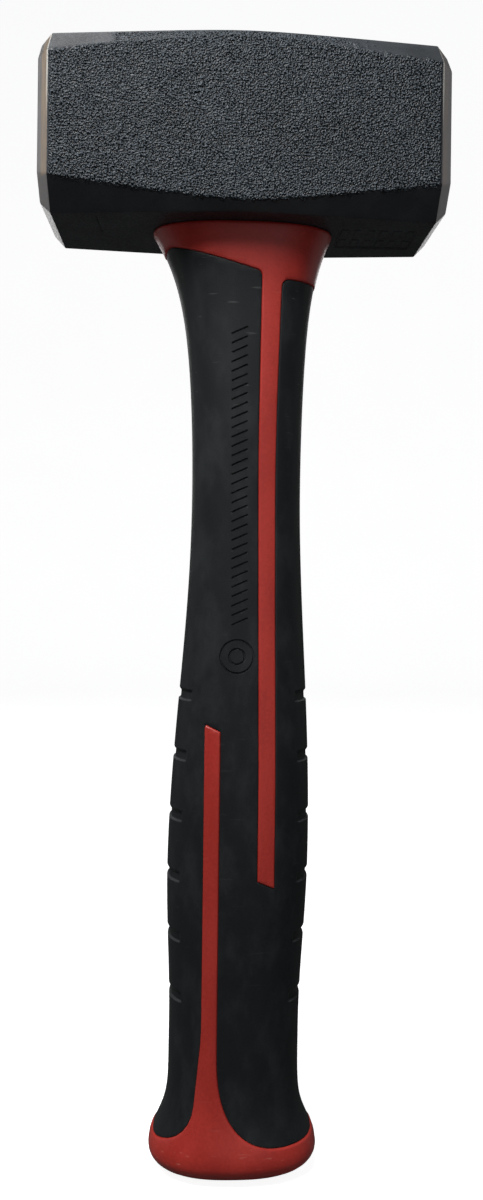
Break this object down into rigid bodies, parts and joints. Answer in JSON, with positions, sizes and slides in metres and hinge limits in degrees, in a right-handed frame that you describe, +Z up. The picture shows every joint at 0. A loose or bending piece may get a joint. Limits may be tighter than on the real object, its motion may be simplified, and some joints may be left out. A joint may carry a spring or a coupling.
{
  "type": "club hammer",
  "caption": "Short-handled club hammer: a square forged steel head with octagonal striking faces, on a moulded red and black handle with a fibreglass core.",
  "frame": {"origin": "middle of the flat end of the butt, on the axis of the eye", "axes": "+Z up the handle to the head, X along the head from face to face, +Y through the thickness, away from the side with the lettering band"},
  "size_m": [0.105, 0.046, 0.296],
  "materials": {
    "head_steel": "forged and painted dark grey, with a ground bare-steel bevel around each striking face",
    "red_plastic": "satin moulded polypropylene",
    "black_rubber": "fine matte moulded thermoplastic rubber",
    "fibreglass": "sawn pultruded fibreglass",
    "resin": "cast epoxy"
  },
  "bodies": {
    "root": {"hammer_head": "head_steel", "handle_jacket": "red_plastic", "grip": "black_rubber", "fibreglass_core": "fibreglass", "eye_resin": "resin"}
  },
  "joints": []
}
